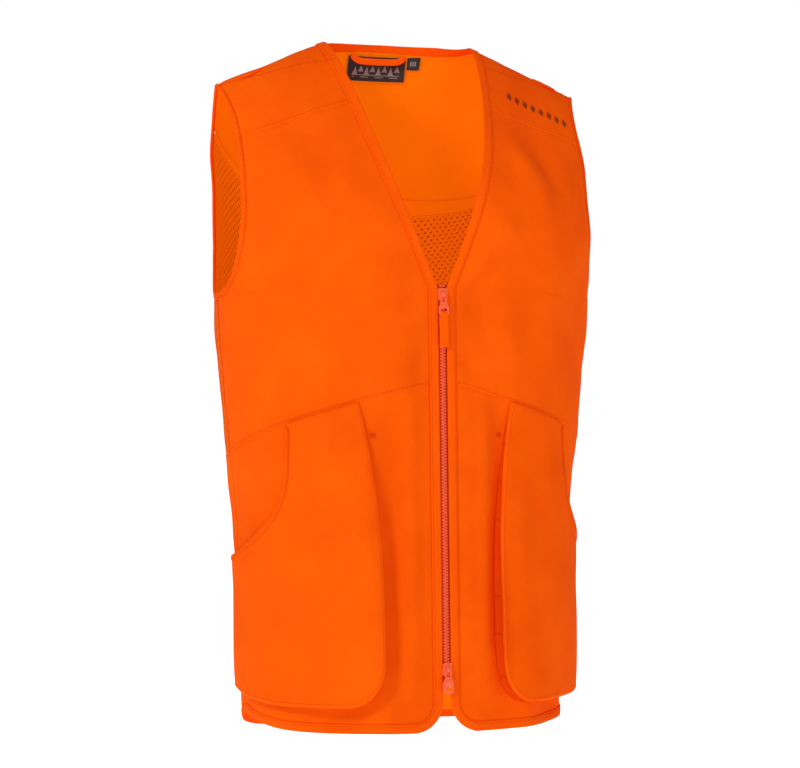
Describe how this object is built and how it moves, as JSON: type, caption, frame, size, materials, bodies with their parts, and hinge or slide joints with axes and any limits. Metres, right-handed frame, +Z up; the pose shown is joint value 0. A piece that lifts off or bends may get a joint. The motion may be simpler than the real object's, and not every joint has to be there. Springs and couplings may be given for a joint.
{
  "type": "hunting vest",
  "caption": "Sleeveless V-necked vest with a two-way front zip, bellows hand pockets, a mesh back, a neck strap to hang it by and small shoulder loops.",
  "frame": {"origin": "middle of the hem opening, in the plane of the lowest point of the back hem; the wearer's torso comes in there", "axes": "+Z up, +X to the wearer's left, -Y to the front"},
  "size_m": [0.4036, 0.2475, 0.7292],
  "materials": {
    "shell_cloth": "matte woven",
    "trim_cloth": "matte woven",
    "mesh": "matte knitted mesh",
    "zip_tape": "matte woven",
    "zip_plastic": "satin",
    "label": "woven satin"
  },
  "bodies": {
    "vest": {"right_front_yoke": "shell_cloth", "left_front_yoke": "shell_cloth", "right_front_panel": "shell_cloth", "left_front_panel": "shell_cloth", "right_lower_front": "shell_cloth", "left_lower_front": "shell_cloth", "right_edge_band": "shell_cloth", "left_edge_band": "shell_cloth", "right_front_hem": "shell_cloth", "left_front_hem": "shell_cloth", "back_yoke": "shell_cloth", "back_mesh": "mesh", "lower_back": "shell_cloth", "back_hem": "shell_cloth", "back_neck_band": "shell_cloth", "yoke_tape": "shell_cloth", "right_armhole_binding": "trim_cloth", "left_armhole_binding": "trim_cloth", "right_pocket_gusset": "trim_cloth", "left_pocket_gusset": "trim_cloth", "pocket_bar_tacks": "zip_tape", "right_zip_tape": "zip_tape", "left_zip_tape": "zip_tape", "right_zip_teeth": "zip_plastic", "left_zip_teeth": "zip_plastic", "zip_top_stops": "zip_plastic", "zip_pins": "zip_plastic", "neck_label": "label", "size_tab": "label", "right_shoulder_loop": "shell_cloth", "left_shoulder_loop": "shell_cloth"},
    "right_pocket": {"right_pocket_front": "shell_cloth", "right_pocket_binding": "trim_cloth"},
    "left_pocket": {"left_pocket_front": "shell_cloth", "left_pocket_binding": "trim_cloth"},
    "top_slider": {"top_slider": "zip_plastic"},
    "top_pull": {"top_pull": "zip_plastic"},
    "pull_tab": {"pull_tab": "shell_cloth"},
    "bottom_slider": {"bottom_slider": "zip_plastic"},
    "bottom_pull": {"bottom_pull": "zip_plastic"},
    "hanger_loop": {"hanger_loop": "shell_cloth"}
  },
  "joints": [
    {"name": "top_slider_travel", "type": "slide", "parent": "vest", "child": "top_slider", "axis": [0, 0.0346, 0.9994], "range_m": [-0.235, 0]},
    {"name": "top_pull_swing", "type": "hinge", "parent": "top_slider", "child": "top_pull", "pos_m": [0, -0.10324, 0.45538], "axis": [-1, 0, 0], "range_deg": [0, 140]},
    {"name": "pull_tab_swing", "type": "hinge", "parent": "top_pull", "child": "pull_tab", "pos_m": [0, -0.10388, 0.43699], "axis": [-1, 0, 0], "range_deg": [0, 30]},
    {"name": "bottom_slider_travel", "type": "slide", "parent": "vest", "child": "bottom_slider", "axis": [0, 0.0346, 0.9994], "range_m": [0, 0.065]},
    {"name": "bottom_pull_swing", "type": "hinge", "parent": "bottom_slider", "child": "bottom_pull", "pos_m": [0, -0.11628, 0.0786], "axis": [-1, 0, 0], "range_deg": [0, 140]},
    {"name": "hanger_loop_swing", "type": "hinge", "parent": "vest", "child": "hanger_loop", "pos_m": [0, 0.0923, 0.7162], "axis": [-1, 0, 0], "range_deg": [0, 150]},
    {"name": "right_pocket_opening", "type": "hinge", "parent": "vest", "child": "right_pocket", "pos_m": [-0.08657, -0.09567, 0.34575], "axis": [-0.8568, 0.4297, -0.285], "range_deg": [0, 6], "deforming": ["right_pocket_gusset"]},
    {"name": "left_pocket_opening", "type": "hinge", "parent": "vest", "child": "left_pocket", "pos_m": [0.08657, -0.09567, 0.34575], "axis": [-0.8568, -0.4297, 0.285], "range_deg": [0, 6], "deforming": ["left_pocket_gusset"]}
  ]
}
